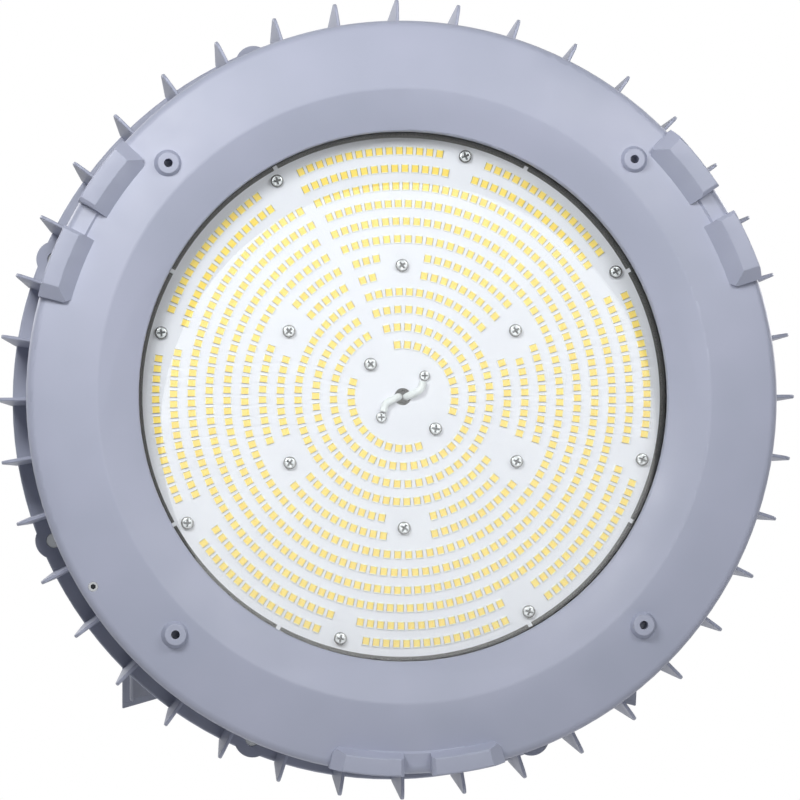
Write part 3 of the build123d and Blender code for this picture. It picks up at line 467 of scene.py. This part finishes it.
def keepouts():
    """Spots that packages keep clear of, each with its clearance."""
    spots = []
    for radius, count, first, clearance in SCREW_CIRCLES:
        for index in range(count):
            spots.append((on_board(radius, radians(first) + 2 * pi / count * index), clearance))
    gap_r = LED_FIRST_R + LED_GAP_ROW * LED_ROW_PITCH
    return spots + [(on_board(gap_r, angle), LED_GAP_KEEPOUT) for angle in LED_GAP_ANGLES]


def package_places():
    """Place and turn of every package; one slot in each row is the seam, and screws keep theirs clear."""
    clear = keepouts()
    places = []
    for row in range(LED_ROWS):
        radius = LED_FIRST_R + row * LED_ROW_PITCH
        for slot in range(1, LED_ROW_SLOTS[row]):
            angle = radians(LED_ROW_SEAMS[row]) + slot * 2 * pi / LED_ROW_SLOTS[row]
            spot = on_board(radius, angle)
            if all((spot - centre).length > distance for centre, distance in clear):
                places.append((spot, angle))
    return places


def package_tree(finishes):
    """One package on each point: a resin frame with a sunk window of gel, and dark strips at both ends,
    solder with painted edge shade.
    """
    tree = bpy.data.node_groups.new("led_packages", "GeometryNodeTree")
    tree.interface.new_socket("Geometry", in_out="INPUT", socket_type="NodeSocketGeometry")
    for name in ("Length", "Width", "Height", "Frame", "Solder", "Gel depth"):
        tree.interface.new_socket(name, in_out="INPUT", socket_type="NodeSocketFloat")
    tree.interface.new_socket("Geometry", in_out="OUTPUT", socket_type="NodeSocketGeometry")
    given = add(tree, "NodeGroupInput").outputs

    size = add(tree, "ShaderNodeCombineXYZ", {
        "X": given["Length"], "Y": given["Width"], "Z": given["Height"],
    })
    body = add(tree, "GeometryNodeMeshCube", {"Size": size.outputs[0]})
    normal = add(tree, "GeometryNodeInputNormal")
    facing = add(tree, "ShaderNodeSeparateXYZ", {"Vector": normal.outputs[0]})
    is_top = add(tree, "ShaderNodeMath", {0: facing.outputs["Z"], 1: TOP_FACE}, operation="GREATER_THAN")
    rim = add(tree, "GeometryNodeExtrudeMesh", {
        "Mesh": body.outputs["Mesh"], "Selection": is_top.outputs[0], "Offset Scale": 0.0,
    }, mode="FACES")
    shares = []
    for side, edge in (("Length", "Frame"), ("Width", "Solder")):
        both = add(tree, "ShaderNodeMath", {0: given[edge], 1: 2.0}, operation="MULTIPLY")
        inner = add(tree, "ShaderNodeMath", {0: given[side], 1: both.outputs[0]}, operation="SUBTRACT")
        share = add(tree, "ShaderNodeMath", {0: inner.outputs[0], 1: given[side]}, operation="DIVIDE")
        shares.append(share.outputs[0])
    scale = add(tree, "ShaderNodeCombineXYZ", {"X": shares[0], "Y": shares[1], "Z": 1.0})
    position = add(tree, "GeometryNodeInputPosition")
    window = add(tree, "ShaderNodeVectorMath", {
        0: position.outputs[0], 1: scale.outputs[0],
    }, operation="MULTIPLY")
    inset = add(tree, "GeometryNodeSetPosition", {
        "Geometry": rim.outputs["Mesh"], "Selection": rim.outputs["Top"], "Position": window.outputs[0],
    })
    sink = add(tree, "ShaderNodeMath", {0: given["Gel depth"], 1: -1.0}, operation="MULTIPLY")
    gel = add(tree, "GeometryNodeExtrudeMesh", {
        "Mesh": inset.outputs[0], "Selection": rim.outputs["Top"], "Offset Scale": sink.outputs[0],
    }, mode="FACES")
    resin = add(tree, "GeometryNodeSetMaterial", {
        "Geometry": gel.outputs["Mesh"], "Material": finishes["resin"],
    })
    filled = add(tree, "GeometryNodeSetMaterial", {
        "Geometry": resin.outputs[0], "Selection": gel.outputs["Top"], "Material": finishes["phosphor"],
    })
    along = add(tree, "ShaderNodeSeparateXYZ", {"Vector": position.outputs[0]})
    aside = add(tree, "ShaderNodeMath", {0: along.outputs["Y"]}, operation="ABSOLUTE")
    half = add(tree, "ShaderNodeMath", {0: given["Width"], 1: 0.5}, operation="MULTIPLY")
    limit = add(tree, "ShaderNodeMath", {0: half.outputs[0], 1: given["Solder"]}, operation="SUBTRACT")
    beyond = add(tree, "ShaderNodeMath", {0: aside.outputs[0], 1: limit.outputs[0]}, operation="GREATER_THAN")
    at_end = add(tree, "ShaderNodeMath", {0: beyond.outputs[0], 1: is_top.outputs[0]}, operation="MULTIPLY")
    # Dark strips at both ends: solder, and painted shade of the package's edges
    solder_and_shade_strips = add(tree, "GeometryNodeSetMaterial", {
        "Geometry": filled.outputs[0], "Selection": at_end.outputs[0], "Material": finishes["solder"],
    })
    turn = add(tree, "GeometryNodeInputNamedAttribute", {"Name": "turn"}, data_type="FLOAT_VECTOR")
    placed = add(tree, "GeometryNodeInstanceOnPoints", {
        "Points": given["Geometry"], "Instance": solder_and_shade_strips.outputs[0],
    })
    rotation = add(tree, "FunctionNodeEulerToRotation", {"Euler": turn.outputs["Attribute"]})
    tree.links.new(rotation.outputs[0], placed.inputs["Rotation"])
    real = add(tree, "GeometryNodeRealizeInstances", {"Geometry": placed.outputs[0]})
    add(tree, "NodeGroupOutput", {"Geometry": real.outputs[0]})
    return tree


def made_mesh(name, points, turns, tree, inputs):
    """Evaluate a tree on points with turns and keep the result as a plain mesh object."""
    seed = bpy.data.meshes.new(name + "_points")
    seed.from_pydata(points, [], [])
    turn = seed.attributes.new("turn", "FLOAT_VECTOR", "POINT")
    for index, euler in enumerate(turns):
        turn.data[index].vector = euler
    piece = bpy.data.objects.new(name, seed)
    bpy.context.scene.collection.objects.link(piece)
    modifier = piece.modifiers.new(name, "NODES")
    modifier.node_group = tree
    for socket, value in inputs.items():
        set_input(modifier, tree, socket, value)
    evaluated = piece.evaluated_get(bpy.context.evaluated_depsgraph_get())
    mesh = bpy.data.meshes.new_from_object(evaluated)
    piece.modifiers.clear()
    piece.data = mesh
    bpy.data.meshes.remove(seed)
    return piece


def led_packages(finishes):
    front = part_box("led_board")[0][1]
    places = package_places()
    points = [spot + Vector((0, front - PACKAGE_HEIGHT / 2, 0)) for spot, _ in places]
    turns = [(pi / 2, -angle, 0.0) for _, angle in places]
    piece = made_mesh("led_packages", points, turns, package_tree(finishes), {
        "Length": PACKAGE_LENGTH, "Width": PACKAGE_WIDTH, "Height": PACKAGE_HEIGHT,
        "Frame": PACKAGE_FRAME, "Solder": PACKAGE_SOLDER, "Gel depth": GEL_DEPTH,
    })
    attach(piece, "lamp")
    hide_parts("led_rows")


# Stage and light
FLOOR_DROP = 0.35
FLOOR_R = 0.85
FLOOR_CENTRE_Y = 0.1
FLOOR_SEGMENTS = 96
FLOOR_PALENESS = 0.6


def seen_directly(tree):
    """One for the rays that show a background: from the camera, off metal or through glass."""
    path = add(tree, "ShaderNodeLightPath").outputs
    seen = path["Is Camera Ray"]
    for kind in ("Is Transmission Ray", "Is Glossy Ray"):
        seen = add(tree, "ShaderNodeMath", {0: seen, 1: path[kind]}, operation="MAXIMUM").outputs[0]
    return seen


def floor_material():
    """Matt paper: pale to the eye, while the light that it sends back to the object stays low."""
    material, tree, shader, coords = surface("pale_matt_floor", Roughness=0.9, Emission_Color=grey(1.0))
    tint(tree, shader, noise(tree, coords, 300).outputs["Fac"], linear("#EBEBEC"), linear("#EFEFF0"))
    glow = add(tree, "ShaderNodeMath", {0: seen_directly(tree), 1: FLOOR_PALENESS}, operation="MULTIPLY")
    tree.links.new(glow.outputs[0], shader.inputs["Emission Strength"])
    return material


def stage_floor():
    mesh = bpy.data.meshes.new("floor")
    shape = bmesh.new()
    bmesh.ops.create_circle(shape, cap_ends=True, segments=FLOOR_SEGMENTS, radius=FLOOR_R)
    bmesh.ops.translate(shape, verts=shape.verts, vec=(0, FLOOR_CENTRE_Y, cad_box[0][2] - FLOOR_DROP))
    shape.to_mesh(mesh)
    shape.free()
    floor = bpy.data.objects.new("floor", mesh)
    mesh.materials.append(floor_material())
    bpy.context.scene.collection.objects.link(floor)


# Lamps: name, place, width, height, watts
LAMPS = (
    ("key_upper_left", (-0.26, -0.42, 0.26), 0.26, 0.18, 2.1),
    ("fill_upper_right", (0.26, -0.42, 0.26), 0.26, 0.18, 1.1),
    ("rear_left", (-0.9, 0.8, 0.5), 0.6, 0.6, 6.0),
    ("rear_right", (0.9, 0.8, 0.4), 0.6, 0.6, 6.0),
)
LAMP_AIM = Vector((0.0, 0.02, 0.0))
# The panel that the glass mirrors: stacked discs of growing width soften its edge
PANEL_PLACE = (0.0657, -0.70, 0.0043)
PANEL_R = 0.143
PANEL_STEPS = (0.94, 0.98, 1.02, 1.06)
PANEL_POWER = 1.37
AMBIENT_STRENGTH = 0.07


def area_light(name, location, width, height, power):
    """White elliptical lamp aimed at the light."""
    data = bpy.data.lights.new(name, "AREA")
    data.shape = "ELLIPSE"
    data.size = width
    data.size_y = height
    data.energy = power
    lamp = bpy.data.objects.new(name, data)
    lamp.location = location
    aim = LAMP_AIM - Vector(location)
    lamp.rotation_euler = aim.to_track_quat("-Z", "Y").to_euler()
    bpy.context.scene.collection.objects.link(lamp)


def place_lamps():
    """Two near lamps above in front, two behind, and the panel."""
    for name, place, width, height, power in LAMPS:
        area_light(name, place, width, height, power)
    for share in PANEL_STEPS:
        width = 2 * PANEL_R * share
        power = PANEL_POWER * share ** 2 / len(PANEL_STEPS)
        area_light("mirrored_in_glass", PANEL_PLACE, width, width, power)


def surround():
    """White where it is seen, and only a faint bluish light on the object."""
    world = bpy.data.worlds.new("surround")
    world.use_nodes = True
    tree = world.node_tree
    tree.nodes.clear()
    ambient = add(tree, "ShaderNodeBackground", {"Color": linear("#E9EDF6"), "Strength": AMBIENT_STRENGTH})
    white = add(tree, "ShaderNodeBackground", {"Color": grey(1.0), "Strength": 1.0})
    mixed = add(tree, "ShaderNodeMixShader", {"Fac": seen_directly(tree)})
    tree.links.new(ambient.outputs[0], mixed.inputs[1])
    tree.links.new(white.outputs[0], mixed.inputs[2])
    add(tree, "ShaderNodeOutputWorld", {"Surface": mixed.outputs[0]})
    bpy.context.scene.world = world


bpy.context.scene.view_settings.view_transform = "Standard"
place_camera()
finishes = make_finishes()
dress_cad(finishes)
led_packages(finishes)
stage_floor()
place_lamps()
surround()
